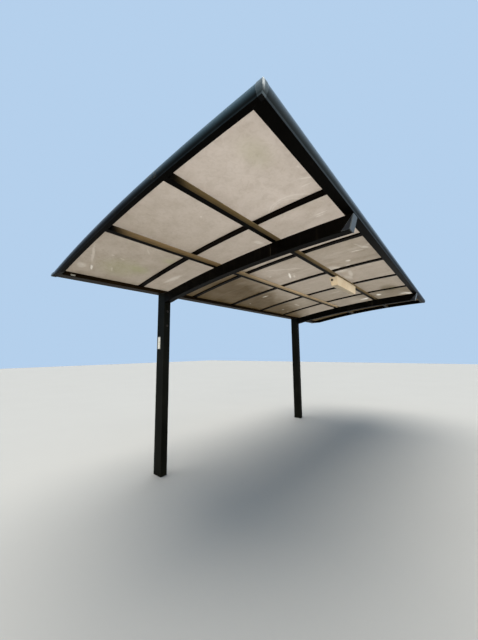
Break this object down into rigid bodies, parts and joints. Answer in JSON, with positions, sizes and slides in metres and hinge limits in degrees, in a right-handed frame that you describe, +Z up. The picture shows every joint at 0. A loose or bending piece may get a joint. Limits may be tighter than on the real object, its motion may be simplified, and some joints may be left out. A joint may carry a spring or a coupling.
{
  "type": "bike shelter",
  "caption": "Open cantilever bicycle shelter: arched smoked-sheet roof in dark bronze frames on two rear posts, with a strip lamp.",
  "frame": {"origin": "middle of the left post's foot, at ground level", "axes": "+Z up, +X along the shelter from the left post to the right post, -Y towards the open front"},
  "size_m": [5.1118, 2.1835, 2.1678],
  "materials": {
    "dark_bronze": "anodised dark bronze with a clear coat, satin",
    "purlin_bronze": "anodised bronze, sunlit and faded on the front face",
    "smoked_sheet": "translucent smoked polycarbonate, weathered",
    "grey_moulding": "moulded, weathered grey",
    "black_moulding": "moulded, black",
    "steel_fittings": "plated steel",
    "lamp_enamel": "cream enamel, yellowed",
    "lamp_diffuser": "milky cover, dusty"
  },
  "bodies": {
    "root": {"back_frame": "dark_bronze", "front_frame": "dark_bronze", "front_purlin": "purlin_bronze", "lamp_body": "lamp_enamel", "lamp_hangers": "steel_fittings", "lamp_lens": "lamp_diffuser", "left_back_corner": "grey_moulding", "left_beam": "dark_bronze", "left_beam_cap": "grey_moulding", "left_beam_root": "dark_bronze", "left_front_corner": "grey_moulding", "left_post": "dark_bronze", "left_post_cap": "black_moulding", "left_side_frame": "dark_bronze", "middle_purlin": "purlin_bronze", "purlin_clips": "steel_fittings", "purlin_ends": "steel_fittings", "rafter_1": "dark_bronze", "rafter_2": "dark_bronze", "rafter_3": "dark_bronze", "rafter_4": "dark_bronze", "rafter_5": "dark_bronze", "rafter_6": "dark_bronze", "rafter_cover_1": "dark_bronze", "rafter_cover_2": "dark_bronze", "rafter_cover_3": "dark_bronze", "rafter_cover_4": "dark_bronze", "rafter_cover_5": "dark_bronze", "rafter_cover_6": "dark_bronze", "right_back_corner": "grey_moulding", "right_beam": "dark_bronze", "right_beam_cap": "grey_moulding", "right_beam_root": "dark_bronze", "right_front_corner": "grey_moulding", "right_post": "dark_bronze", "right_post_cap": "black_moulding", "right_side_frame": "dark_bronze", "roof_panel_1": "smoked_sheet", "roof_panel_2": "smoked_sheet", "roof_panel_3": "smoked_sheet", "roof_panel_4": "smoked_sheet", "roof_panel_5": "smoked_sheet", "roof_panel_6": "smoked_sheet", "roof_panel_7": "smoked_sheet"}
  },
  "joints": []
}
